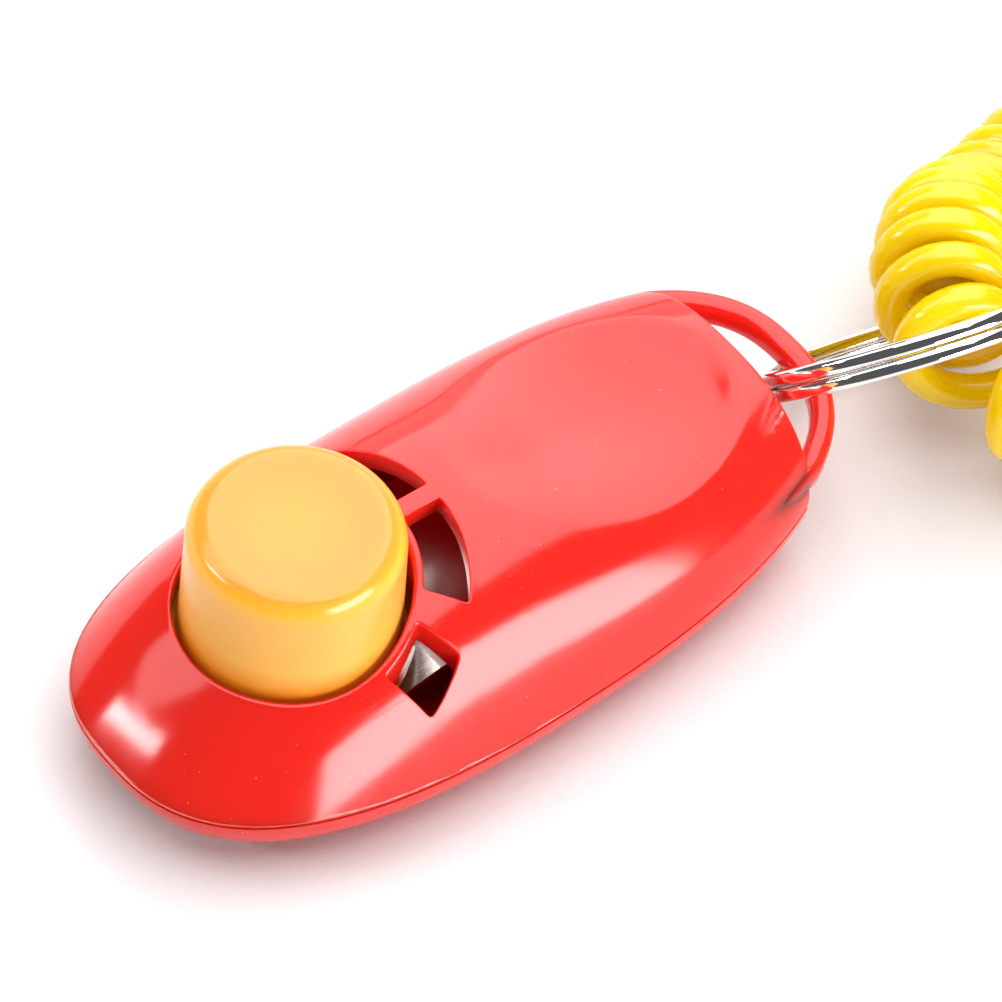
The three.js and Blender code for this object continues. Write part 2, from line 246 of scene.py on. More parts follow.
def fill(build, loops, spacing, place, flip=False):
    """Triangles over the region inside the first loop and outside the others.

    Each loop is (its points' numbers in the mesh, its points on the flat map); place lifts the map's
    inner points into space.
    """
    outline, holes = loops[0][1], [flat for _, flat in loops[1:]]
    low, high = outline.min(0), outline.max(0)
    row = spacing * math.sqrt(3) / 2
    grid = [(x + (spacing / 2 if k % 2 else 0), y)
            for k, y in enumerate(np.arange(low[1], high[1], row))
            for x in np.arange(low[0], high[0], spacing)]
    grid = np.array(grid)
    keep = inside(grid, outline)
    for hole in holes:
        keep &= ~inside(grid, hole)
    grid = grid[keep]
    edge_points = np.vstack([flat for _, flat in loops])
    near = np.array([np.min(np.sum((edge_points - g) ** 2, 1)) for g in grid])
    grid = grid[near > (0.6 * spacing) ** 2]

    flat_points = np.vstack([edge_points, grid])
    numbers = [n for index, _ in loops for n in index] + build.add(place(grid))
    edges, start = [], 0
    for index, _ in loops:
        count = len(index)
        edges += [(start + i, start + (i + 1) % count) for i in range(count)]
        start += count
    found = delaunay_2d_cdt([Vector(p) for p in flat_points], edges, [], 1, 1e-7)
    places = np.array([list(v) for v in found[0]])
    origin = [o[0] for o in found[3]]
    triangles = np.array([list(f) for f in found[2] if len(f) == 3])
    middle = places[triangles].mean(1)
    keep = inside(middle, outline)
    for hole in holes:
        keep &= ~inside(middle, hole)
    for triangle in triangles[keep]:
        face = [numbers[origin[i]] for i in triangle]
        build.faces.append(face[::-1] if flip else face)


def circle(x, y, radius, count):
    angle = np.arange(count) * 2 * math.pi / count
    return np.stack([x + radius * np.cos(angle), y + radius * np.sin(angle)], 1)


def outward(loop):
    """Unit normals of a counter-clockwise loop, pointing away from its inside."""
    along = np.roll(loop, -1, 0) - np.roll(loop, 1, 0)
    along /= np.linalg.norm(along, axis=1)[:, None]
    return np.stack([along[:, 1], -along[:, 0]], 1)


def lathe(profile, centre, count):
    """A turned solid from a profile of (radius, height) that starts and ends on the axis."""
    build = Build()
    rows = []
    for radius, height in profile:
        if radius < 1e-6:
            rows.append(build.add([(centre[0], centre[1], height)]) * count)
        else:
            ring = circle(centre[0], centre[1], radius, count)
            rows.append(build.add([(x, y, height) for x, y in ring]))
    build.chain(rows)
    return build


def rounded(corners, radii, steps=6):
    """An open profile with each inner corner replaced by an arc."""
    points = [corners[0]]
    for before, here, after, radius in zip(corners, corners[1:], corners[2:], radii):
        corner = Vector(here)
        to_before, to_after = Vector(before) - corner, Vector(after) - corner
        if radius <= 0:
            points.append(here)
            continue
        half = to_before.angle(to_after) / 2
        reach = min(radius / math.tan(half), 0.49 * to_before.length, 0.49 * to_after.length)
        start, end = corner + to_before.normalized() * reach, corner + to_after.normalized() * reach
        for k in range(steps + 1):
            t = k / steps
            arc = start * (1 - t) ** 2 + corner * (2 * t * (1 - t)) + end * t ** 2
            points.append(tuple(arc))
    points.append(corners[-1])
    return points


def rounded_section(half_wide, half_tall, radius):
    """A rectangle's outline, counter-clockwise, with its corners rounded."""
    section = []
    for x, y, start in ((1, 1, 0), (-1, 1, 90), (-1, -1, 180), (1, -1, 270)):
        for step in range(6):
            turn = math.radians(start + 18 * step)
            section.append((x * (half_wide - radius) + radius * math.cos(turn),
                            y * (half_tall - radius) + radius * math.sin(turn)))
    return section


# ---------------------------------------------------------------- shape of the case


def parting_z(x):
    return PARTING_HEIGHT + PARTING_RISE * (x / HALF_LENGTH) ** 2


def oval_reach(x, y):
    """0 in the middle of the oval, 1 on its rim."""
    along = np.clip(np.abs(x) / HALF_LENGTH, 0, 1)
    across = np.abs(y) / (HALF_WIDTH * (1 - OVAL_TAPER * np.clip(x / HALF_LENGTH, -1, 1)))
    return (along ** OVAL_POWER + across ** OVAL_POWER) ** (1 / OVAL_POWER)


def dome_rise(x, y):
    """Height of the dome above the seam. Its left end falls away all round; towards the loop it is
    arched across, and its sides grow steeper."""
    along = np.clip(x / HALF_LENGTH, -1, 1)
    width = HALF_WIDTH * (1 - OVAL_TAPER * along)
    chord = np.maximum(width * (1 - np.abs(along) ** OVAL_POWER) ** (1 / OVAL_POWER), 1e-3)
    blend = smoothstep(x / DOME_BLEND)
    out = np.clip((1 - blend) * oval_reach(x, y) + blend * np.abs(y) / chord, 0, 1)
    height = DOME_HEIGHT * (1 - DOME_FALL * along - DOME_SAG * along ** 2)
    shoulder = SHOULDER - SHOULDER_FALL * along
    return height * (1 - out ** shoulder) ** np.clip(SIDE_POWER - SIDE_POWER_FALL * along, 0.3, 1)


def dish_depth(x, y):
    """The thumb dish, with a softly rounded rim."""
    along = (x - DISH_X) / DISH_LENGTH
    left = 1 - along ** 2 - (y / DISH_WIDTH) ** 2
    soft = (left + np.sqrt(left ** 2 + DISH_SOFTNESS ** 2)) / 2
    return DISH_DEPTH * np.clip(1 + DISH_LEAN * along, 0, 2) * soft


def stretch(inset):
    return HALF_LENGTH / (HALF_LENGTH - inset), HALF_WIDTH / (HALF_WIDTH - inset)


def top_z(x, y, inset=0.0):
    """Height of the dome's outside, or of its inside at an inset."""
    sx, sy = stretch(inset)
    rise = np.maximum(dome_rise(x * sx, y * sy) * (1 - inset / DOME_HEIGHT), SEAM_GAP / 2)
    fade = smoothstep((1 - oval_reach(x * sx, y * sy)) / 0.12)
    return parting_z(x) + rise - dish_depth(x * sx, y * sy) * fade


def belly_z(x, y, inset=0.0):
    """Height of the lower shell's outside, or of its inside at an inset."""
    sx, sy = stretch(inset)
    out = np.clip(oval_reach(x * sx, y * sy), 0, 1)
    bend = np.clip((out - FLAT_SHARE) / (1 - FLAT_SHARE), 0, 1)
    depth = parting_z(x) - inset
    return np.minimum(inset + depth * (1 - np.sqrt(1 - bend ** 2)), parting_z(x) - SEAM_GAP / 2)


def to_map(points, inset):
    """From places on the case to a flat map on which its steep sides are spread out."""
    sx, sy = stretch(inset)
    a = points[:, 0] * sx / HALF_LENGTH
    b = points[:, 1] * sy / HALF_WIDTH / (1 - OVAL_TAPER * a)
    out = np.maximum((np.abs(a) ** OVAL_POWER + np.abs(b) ** OVAL_POWER) ** (1 / OVAL_POWER), 1e-9)
    spread = 2 / math.pi * np.arcsin(np.clip(out, 0, 1)) / out
    return np.stack([a * spread * HALF_LENGTH, b * spread * HALF_WIDTH], 1)


def from_map(flat, inset):
    sx, sy = stretch(inset)
    a, b = flat[:, 0] / HALF_LENGTH, flat[:, 1] / HALF_WIDTH
    reach = np.maximum((np.abs(a) ** OVAL_POWER + np.abs(b) ** OVAL_POWER) ** (1 / OVAL_POWER), 1e-9)
    squeeze = np.sin(np.clip(reach, 0, 1) * math.pi / 2) / reach
    a, b = a * squeeze, b * squeeze
    return np.stack([a * HALF_LENGTH / sx, b * HALF_WIDTH / sy * (1 - OVAL_TAPER * a)], 1)


def rim_point(angle, inset=0.0):
    c, s = np.cos(angle), np.sin(angle)
    x = np.sign(c) * np.abs(c) ** (2 / OVAL_POWER)
    y = np.sign(s) * np.abs(s) ** (2 / OVAL_POWER)
    return x * (HALF_LENGTH - inset), y * (HALF_WIDTH - inset) * (1 - OVAL_TAPER * x)


def end_x(z, inset=0.0):
    heights, places = zip(*END_WALL)
    return np.interp(z, heights, places) - inset


def cut_curve(surface, inset, count, seam):
    """The line where a surface meets the end wall, from the near rim to the far rim."""
    corner_x = end_x(seam, inset)
    along = corner_x / (HALF_LENGTH - inset)
    reach = (HALF_WIDTH - inset) * (1 - OVAL_TAPER * along)
    corner_y = reach * (1 - along ** OVAL_POWER) ** (1 / OVAL_POWER)
    y = corner_y * np.sin(np.linspace(-math.pi / 2, math.pi / 2, count))
    x = np.full(count, corner_x)
    for _ in range(12):
        x = end_x(surface(x, y, inset), inset)
    x[0] = x[-1] = corner_x
    return x, y


def half_shell(build, surface, upper, holes, fillet):
    """One shell of the case: its outside, its inside, the end wall, the lip at the seam and the walls of
    each hole that filleted_hole gives."""
    lift = SEAM_GAP / 2 * (1 if upper else -1)
    seam = parting_z(END_WALL[1][1]) + lift
    rim_count, cut_count, wall_rows = 220, 72, 8
    lips = []
    for inset, spacing in ((0.0, 0.5), (WALL, 1.0)):
        outer = inset == 0
        cut_x, cut_y = cut_curve(surface, inset, cut_count, seam)
        corner_reach = cut_x[0] / (HALF_LENGTH - inset)
        corner = math.acos(min(corner_reach ** (OVAL_POWER / 2), 1))
        angle = np.linspace(corner, 2 * math.pi - corner, rim_count)
        rim = np.stack(rim_point(angle, inset), 1)
        rim_z = parting_z(rim[:, 0]) + lift
        rim_index = build.add(np.column_stack([rim, rim_z]))
        ends = rim_index[-1], rim_index[0]

        x, y = cut_x[1:-1], cut_y[1:-1]
        z = surface(x, y, inset)
        foot_x = end_x(seam, inset) + 0 * x
        foot_z = parting_z(foot_x) + lift
        round_by = np.minimum(fillet if outer else 0.05, 0.3 * np.abs(z - foot_z) + 1e-4)
        rows = []
        for turn in np.linspace(0, math.pi / 2, 6):
            row_x = x - round_by * (1 - math.sin(turn))
            row_z = surface(row_x, y, inset) - (1 if upper else -1) * round_by * (1 - math.cos(turn))
            rows.append(np.column_stack([row_x, y, row_z]))
        for share in np.linspace(0, 1, wall_rows + 1)[1:]:
            row_z = rows[5][:, 2] * (1 - share) + foot_z * share
            rows.append(np.column_stack([end_x(row_z, inset), y, row_z]))
        numbered = [[ends[0], *build.add(row), ends[1]] for row in rows]
        build.chain(numbered, closed=False, flip=(outer != upper))

        outline = np.vstack([rim, rows[0][:, :2]])
        index = rim_index + numbered[0][1:-1]
        loops = [(index, to_map(outline, inset))]
        edge = "outer" if outer else "inner"
        for hole in holes:
            ring = hole[edge]
            height = surface(ring[:, 0], ring[:, 1], inset)
            hole[edge + "_index"] = build.add(np.column_stack([ring, height]))
            loops.append((hole[edge + "_index"], to_map(ring, inset)))

        def place(flat, inset=inset):
            spot = from_map(flat, inset)
            return np.column_stack([spot, surface(spot[:, 0], spot[:, 1], inset)])

        fill(build, loops, spacing, place, flip=(outer != upper))
        lips.append(rim_index + numbered[-1][1:-1])
    build.strip(lips[0], lips[1], flip=upper)
    for hole in holes:
        rows = [hole["outer_index"]]
        rows += [build.add(np.column_stack([ring, z + 0 * ring[:, 0]])) for ring, z in hole["walls"]]
        rows.append(hole["inner_index"])
        build.chain(rows, flip=upper)


def filleted_hole(loop, fillet, surface, upper, inner=None, walls=()):
    """A hole through a shell: its outer ring, its rings from there inwards, each (points, height), of
    which the first ones round the edge, and its inner ring, which is the loop if none is given."""
    out = outward(loop)
    sign = 1 if upper else -1
    rings = []
    for turn in np.linspace(0, math.pi / 2, 6)[1:]:
        ring = loop + out * fillet * (1 - math.sin(turn))
        height = surface(ring[:, 0], ring[:, 1]) - sign * fillet * (1 - math.cos(turn))
        rings.append((ring, height))
    return {
        "outer": loop + out * fillet,
        "inner": loop if inner is None else inner,
        "walls": rings + list(walls),
    }


def softened(corners, spacing=0.11, passes=10):
    """A closed outline resampled evenly, with its corners slightly rounded."""
    loop = np.array(corners)
    closed = np.vstack([loop, loop[:1]])
    length = np.concatenate([[0], np.cumsum(np.linalg.norm(np.diff(closed, axis=0), axis=1))])
    count = int(length[-1] / spacing)
    at = np.arange(count) * length[-1] / count
    even = np.stack([np.interp(at, length, closed[:, k]) for k in (0, 1)], 1)
    for _ in range(passes):
        even = (np.roll(even, 1, 0) + 2 * even + np.roll(even, -1, 0)) / 4
    return even


def slot_outline(side, start, end):
    """A sound slot between two circles round the button; start and end give each end's angle."""
    outer = [(SLOT_OUTER, a) for a in np.linspace(start(SLOT_OUTER), end(SLOT_OUTER), 24)]
    inner = [(SLOT_INNER, a) for a in np.linspace(end(SLOT_INNER), start(SLOT_INNER), 18)]
    corners = [(BUTTON.x + r * math.cos(a), side * r * math.sin(a)) for r, a in outer + inner]
    return softened(corners if side > 0 else corners[::-1])


def slots():
    """On each side, a slot beside the rib on the centre line and one past the next spoke."""
    loops = []
    turn = math.radians(SIDE_SLOT_ANGLE)
    for side in (-1, 1):
        loops.append(slot_outline(side, start=lambda r: math.asin(SLOT_RIB / r),
                                  end=lambda r: math.radians(SLOT_ANGLE)))
        loops.append(slot_outline(side, start=lambda r: turn,
                                  end=lambda r: turn + math.asin(SIDE_SLOT_WIDTH / r)))
    return loops


def loop_bar(build):
    """The loop: a rounded bar that carries the oval's rim on past the end wall."""
    count = 96
    half_wide = LOOP_WIDTH / 2
    section = rounded_section(half_wide, (LOOP_TOP - LOOP_BOTTOM) / 2, LOOP_CORNER)
    middle = (LOOP_TOP + LOOP_BOTTOM) / 2

    def sink(share):
        """How far the bar is drawn in from the rim: a little at the end wall, and more beyond it."""
        return 0.35 * smoothstep((share - 0.58) / 0.10) + 1.6 * smoothstep((share - 0.66) / 0.34)

    rows = []
    for k in range(count + 1):
        share = 2 * k / count - 1
        angle = LOOP_HALF_ANGLE * share
        inset = half_wide + sink(abs(share))
        here = np.array(rim_point(np.array(angle), inset))
        ahead = np.array(rim_point(np.array(angle + 0.004), inset))
        behind = np.array(rim_point(np.array(angle - 0.004), inset))
        along = (ahead - behind) / np.linalg.norm(ahead - behind)
        out = np.array([along[1], -along[0]])
        rows.append(build.add([(*(here + out * a), middle + b) for a, b in section]))
    build.chain(rows, flip=True)
    build.cap(rows[0])
    build.cap(rows[-1], flip=True)


def top_shell():
    build = Build()
    around = 160
    loop = circle(BUTTON.x, 0, OPENING_RADIUS, around)
    collar = circle(BUTTON.x, 0, COLLAR_RADIUS, around)
    opening = filleted_hole(loop, OPENING_FILLET, top_z, True, inner=collar, walls=[
        (loop, COLLAR_BOTTOM + 0.15), (circle(BUTTON.x, 0, OPENING_RADIUS + 0.15, around), COLLAR_BOTTOM),
        (circle(BUTTON.x, 0, COLLAR_RADIUS - 0.1, around), COLLAR_BOTTOM),
        (collar, COLLAR_BOTTOM + 0.1),
    ])
    holes = [opening] + [filleted_hole(outline, SLOT_FILLET, top_z, True) for outline in slots()]
    half_shell(build, top_z, True, holes, 0.28)
    loop_bar(build)
    return build


def bottom_shell():
    build = Build()
    holes = []
    around = 48
    for (x, head_bottom), boss in zip(SCREWS, BOSS_RADII):
        seat = head_bottom + SCREW_HEAD_HEIGHT + SCREW_PLAY
        boss_top = parting_z(x) - SEAM_GAP / 2
        head_room = circle(x, 0, SCREW_HEAD + SCREW_PLAY, around)
        shaft_room = circle(x, 0, SCREW_SHAFT + SCREW_PLAY, around)
        outline = circle(x, 0, boss, around)
        outline[:, 0] = np.minimum(outline[:, 0], end_x(WALL, WALL) - 0.3)  # clear of the end wall
        holes.append(filleted_hole(head_room, 0.3, belly_z, False, inner=outline, walls=[
            (head_room, seat), (shaft_room, seat), (shaft_room, boss_top), (outline, boss_top),
        ]))
    half_shell(build, belly_z, False, holes, 0.5)
    reed_post(build)
    return build


def reed_post(build):
    """The block that the reed is screwed to, standing on the floor of the lower shell."""
    low, bevel = WALL - 0.4, 0.3
    rows = []
    for height, inset in ((low, 0), (POST_TOP - bevel, 0), (POST_TOP, bevel)):
        half_x, half_y = 3 - inset, 6.8 - inset
        rows.append(build.add([(POST_X + x * half_x, y * half_y, height)
                               for x, y in ((1, -1), (1, 1), (-1, 1), (-1, -1))]))
    build.chain(rows)
    build.cap(rows[0], flip=True)
    build.cap(rows[-1])


# ---------------------------------------------------------------- button, reed, screws


def button():
    """A hollow cap with a dished top, a flange that keeps it in the case, and a stem to the reed."""
    top, low = top_of("button"), bottom_of("button")
    flange, roof, dish = low + 1.2, top - 2.2, 0.4
    skirt = rounded([(FLANGE_RADIUS, flange), (FLANGE_RADIUS, flange + 1), (BUTTON_BASE_RADIUS, flange + 1),
                     (BUTTON_RADIUS, top - CROWN_HEIGHT)], [0.2, 0.3], steps=8)
    outer = skirt[:-1]
    for turn in np.linspace(math.pi / 2, 0, 18):
        outer.append((BUTTON_RADIUS - CROWN_WIDTH * (1 - math.sin(turn)),
                      top - CROWN_HEIGHT * (1 - math.cos(turn))))
    edge = outer[-1][0]
    dished = [(edge * share, top - dish * (1 - share ** 2)) for share in 1 - np.arange(1, 15) / 14]
    inner = [(0, low), (2.4, low), (2.7, low + 0.1), (STEM_RADIUS, low + 0.4), (STEM_RADIUS, roof),
             (6.9, roof), (7.1, flange)]
    return lathe(inner + outer + dished, BUTTON, 128)


def click_reed():
    """A strip of spring steel, creased across, with a shallow pressed dimple that makes it snap."""
    build = Build()
    places, heights = zip(*REED_PROFILE)
    tip_x, _, crease_x, _, root_x = places

    def height(x, y):
        from_dimple = np.minimum(np.hypot(x - DIMPLE_X, y) / DIMPLE_RADIUS, 1)
        return np.interp(x, places, heights) + DIMPLE_HEIGHT / 2 * (1 + np.cos(np.pi * from_dimple))

    xs = np.unique(np.concatenate([np.linspace(tip_x, root_x, 83), [crease_x]]))
    ys = np.linspace(-REED_HALF_WIDTH, REED_HALF_WIDTH, 41)
    layers = []
    for offset in (-REED_THICKNESS / 2, REED_THICKNESS / 2):
        rows = []
        for x in xs:
            from_tip = min((x - tip_x) / REED_CORNER, 1)
            corner = REED_CORNER * (1 - math.sqrt(max(0, 1 - (1 - from_tip) ** 2)))
            y = ys * (REED_HALF_WIDTH - corner) / REED_HALF_WIDTH
            rows.append(build.add(np.column_stack([np.full(len(y), x), y, height(x, y) + offset])))
        layers.append(rows)
    under, over = layers
    build.chain(over, closed=False)
    build.chain(under, closed=False, flip=True)
    edge = [over[0], [r[-1] for r in over], over[-1][::-1], [r[0] for r in over][::-1]]
    edge_under = [under[0], [r[-1] for r in under], under[-1][::-1], [r[0] for r in under][::-1]]
    for upper_row, lower_row in zip(edge, edge_under):
        build.strip(upper_row, lower_row, closed=False, flip=True)
    return build


def screw(node, head_up):
    """A pan-head screw with a cross recess, its shaft threaded."""
    build = Build()
    angles = np.arange(64) * 2 * math.pi / 64
    crown_from, crown_drop = 1.2, 0.75     # the head is flat to this radius and falls this far at its rim

    def recess(radius, angle):
        """Depth of the cross recess at a place on the head."""
        x, y = abs(radius * math.cos(angle)), abs(radius * math.sin(angle))
        depth = 0.62 * (1 - max(0, (max(x, y) - 0.25) / 0.95))
        wall = 1 - float(smoothstep((min(x, y) - 0.19) / 0.09))
        return max(depth, 0) * wall

    def ring(radii, heights):
        return build.add(np.column_stack([radii * np.cos(angles), radii * np.sin(angles),
                                          heights + 0 * angles]))

    rows = [build.add([(0, 0, -recess(0, 0))]) * len(angles)]
    for radius in [*np.linspace(0.08, 1.3, 16), 1.5, 1.7, 1.85, 1.95, SCREW_HEAD]:
        crown = crown_drop * (max(radius - crown_from, 0) / (SCREW_HEAD - crown_from)) ** 2
        rows.append(ring(radius, np.array([-crown - recess(radius, a) for a in angles])))
    rows.append(ring(SCREW_HEAD, -SCREW_HEAD_HEIGHT))
    length = top_of(node) - bottom_of(node)
    per_pitch, point = 8, 0.9              # rows in one pitch, and the length of the tapered point
    steps = int((length - SCREW_HEAD_HEIGHT - point) / THREAD_PITCH * per_pitch)
    for k in range(steps + 1):
        thread = THREAD_DEPTH * (0.5 - 0.5 * np.cos(angles - 2 * math.pi * k / per_pitch))
        rows.append(ring(SCREW_SHAFT - thread, -SCREW_HEAD_HEIGHT - 0.05 - k * THREAD_PITCH / per_pitch))
    rows.append(build.add([(0, 0, -length)]) * len(angles))
    build.chain(rows, flip=True)

    spin = 0.6                             # how far the cross recess is turned, in radians
    centre, head, up = centre_of(node), top_of(node) if head_up else bottom_of(node), 1 if head_up else -1
    build.points = [(centre.x + x * math.cos(spin) - y * math.sin(spin),
                     centre.y + up * (x * math.sin(spin) + y * math.cos(spin)),
                     head + up * z) for x, y, z in build.points]
    return build


# ---------------------------------------------------------------- ring


def ring_axes():
    along = Vector((math.cos(RING_HEADING), math.sin(RING_HEADING), math.tan(RING_RISE))).normalized()
    sideways = RING_NORMAL.cross(along).normalized()
    return along, sideways, along.cross(sideways)


def key_ring():
    """A split ring: nearly two turns of flat wire, side by side, that change places at the ends."""
    build = Build()
    along, sideways, axis = ring_axes()
    section = rounded_section(RING_BAND / 2, RING_TURN / 2, RING_CORNER)
    rows = []
    steps = 460
    for k in range(steps + 1):
        angle = RING_WIRE_END + (4 * math.pi - 2 * RING_WIRE_END) * k / steps
        cross = float(smoothstep((angle - 2 * math.pi + RING_WIRE_END) / (2 * RING_WIRE_END)))
        side = (RING_TURN + RING_TURN_GAP) / 2 * (2 * cross - 1)
        out = along * math.cos(angle) + sideways * math.sin(angle)
        end = min(k, steps - k) / 6
        shrink = math.sqrt(1 - (1 - min(end, 1)) ** 2 * 0.55)
        middle = RING_CENTRE + out * RING_RADIUS + axis * side
        rows.append(build.add([middle + out * (a * shrink) + axis * (b * shrink) for a, b in section]))
    build.chain(rows, flip=True)
    build.cap(rows[0])
    build.cap(rows[-1], flip=True)
    return build


# ---------------------------------------------------------------- strap


def strap_line(per_span=60):
    """The coil's middle line: a centripetal Catmull-Rom curve through the strap's points."""
    points = [np.array(p, float) for p in STRAP_POINTS]
    points = [2 * points[0] - points[1], *points, 2 * points[-1] - points[-2]]
    line = []
    for p0, p1, p2, p3 in zip(points, points[1:], points[2:], points[3:]):
        d0, d1, d2 = (max(np.linalg.norm(b - a) ** 0.5, 1e-4) for a, b in ((p0, p1), (p1, p2), (p2, p3)))
        t1 = ((p1 - p0) / d0 - (p2 - p0) / (d0 + d1) + (p2 - p1) / d1) * d1
        t2 = ((p2 - p1) / d1 - (p3 - p1) / (d1 + d2) + (p3 - p2) / d2) * d1
        for k in range(per_span):
            t = k / per_span
            line.append(p1 + t1 * t + (3 * (p2 - p1) - 2 * t1 - t2) * t ** 2
                        + (2 * (p1 - p2) + t1 + t2) * t ** 3)
    line.append(points[-2])
    return np.array(line)


def coil_points(per_turn=28):
    """The cord's own line: a helix round the middle line that winds in to the sleeve at both ends.

    Where the coil hangs on the ring its turns lean over, and past the ring they are pulled apart.
    """
    line = strap_line()
    reach = np.concatenate([[0], np.cumsum(np.linalg.norm(np.diff(line, axis=0), axis=1))])
    length = reach[-1]
    at = np.linspace(0, length, 4000)
    middle = np.stack([np.interp(at, reach, line[:, k]) for k in range(3)], 1)
    tangent = np.gradient(middle, axis=0)
    tangent /= np.linalg.norm(tangent, axis=1)[:, None]
    on_ring = at[np.argmin(np.linalg.norm(middle - COIL_ON_RING, axis=1))]
    lean = COIL_LEAN_SHARE * np.exp(-((at - on_ring - COIL_LEAN_AT) / COIL_LEAN_SPAN) ** 2)[:, None]
    facing = tangent * (1 - lean) + np.array(Vector(COIL_LEAN).normalized()) * lean
    facing /= np.linalg.norm(facing, axis=1)[:, None]
    opened = 1 + COIL_GAP_SHARE * np.exp(-((at - on_ring - COIL_GAP_AT) / COIL_GAP_SPAN) ** 2)
    rate = (tangent * facing).sum(1) / COIL_PITCH / opened
    wound = np.concatenate([[0], np.cumsum((rate[1:] + rate[:-1]) / 2 * np.diff(at))])
    turns = round(wound[-1])
    wound *= turns / wound[-1]

    count = turns * per_turn
    spot = np.interp(np.arange(count + 1) / per_turn, wound, at)
    middle = np.stack([np.interp(spot, at, middle[:, k]) for k in range(3)], 1)
    facing = np.stack([np.interp(spot, at, facing[:, k]) for k in range(3)], 1)
    facing /= np.linalg.norm(facing, axis=1)[:, None]
    side = np.cross(facing[0], (0, 0, 1.0))
    sides = []
    for normal in facing:
        side = side - normal * np.dot(side, normal)
        side /= np.linalg.norm(side)
        sides.append(side)
    sides = np.array(sides)
    ups = np.cross(facing, sides)
    angle = np.arange(count + 1) * 2 * math.pi / per_turn
    from_end = np.minimum(np.arange(count + 1), count - np.arange(count + 1)) / (COIL_END_TURNS * per_turn)
    radius = COIL_RADIUS * smoothstep(from_end)
    points = middle + sides * (radius * np.cos(angle))[:, None] + ups * (radius * np.sin(angle))[:, None]
    steps = np.linspace(2.2, 0.4, 5)[:, None]   # straight on into the sleeve
    before = points[0] - facing[0] * steps
    after = points[-1] + facing[-1] * steps[::-1]
    return np.vstack([before, points, after])


def wrist_coil(material):
    """The strap's cord as one open curve of its real length and thickness."""
    points = coil_points() * MM
    curve = bpy.data.curves.new("wrist_coil_cord", "CURVE")
    curve.dimensions = "3D"
    spline = curve.splines.new("POLY")
    spline.points.add(len(points) - 1)
    spline.points.foreach_set("co", np.column_stack([points, np.ones(len(points))]).ravel())
    spline.use_smooth = True
    curve.bevel_depth = COIL_WIRE / 2 * MM
    curve.bevel_resolution = 4
    curve.use_fill_caps = True
    curve.materials.append(material)
    cord = bpy.data.objects.new("wrist_coil_cord", curve)
    bpy.context.scene.collection.objects.link(cord)
    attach(cord, "strap")
    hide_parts("wrist_coil")
    length = float(np.linalg.norm(np.diff(points, axis=0), axis=1).sum())
    return cord, points, length


def coil_sleeve():
    """The moulded sleeve that joins the cord's two ends, with two grip ribs and rounded lips."""
    low, high = (np.array(c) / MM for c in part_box("coil_sleeve"))
    radius = (high[2] - low[2]) / 2
    (start_x, _, start_z), (end_x, _, end_z) = STRAP_POINTS[0], STRAP_POINTS[-1]
    start, end = np.array([start_x, high[1], start_z]), np.array([end_x, low[1], end_z])
    length = np.linalg.norm(end - start)
    profile = rounded([(0, 0), (radius - 0.1, 0), (radius - 0.1, 1.5), (radius - 0.5, 2.0),
                       (radius - 0.5, length - 2.0), (radius - 0.1, length - 1.5),
                       (radius - 0.1, length), (0, length)], [0.6, 0.3, 0.3, 0.3, 0.3, 0.6])
    build = lathe(profile, (0, 0), 64)
    along = (end - start) / length
    aim = Vector((0, 0, 1)).rotation_difference(Vector(along)).to_matrix()
    build.points = [tuple(aim @ Vector(p) + Vector(start)) for p in build.points]
    return build


# ---------------------------------------------------------------- materials


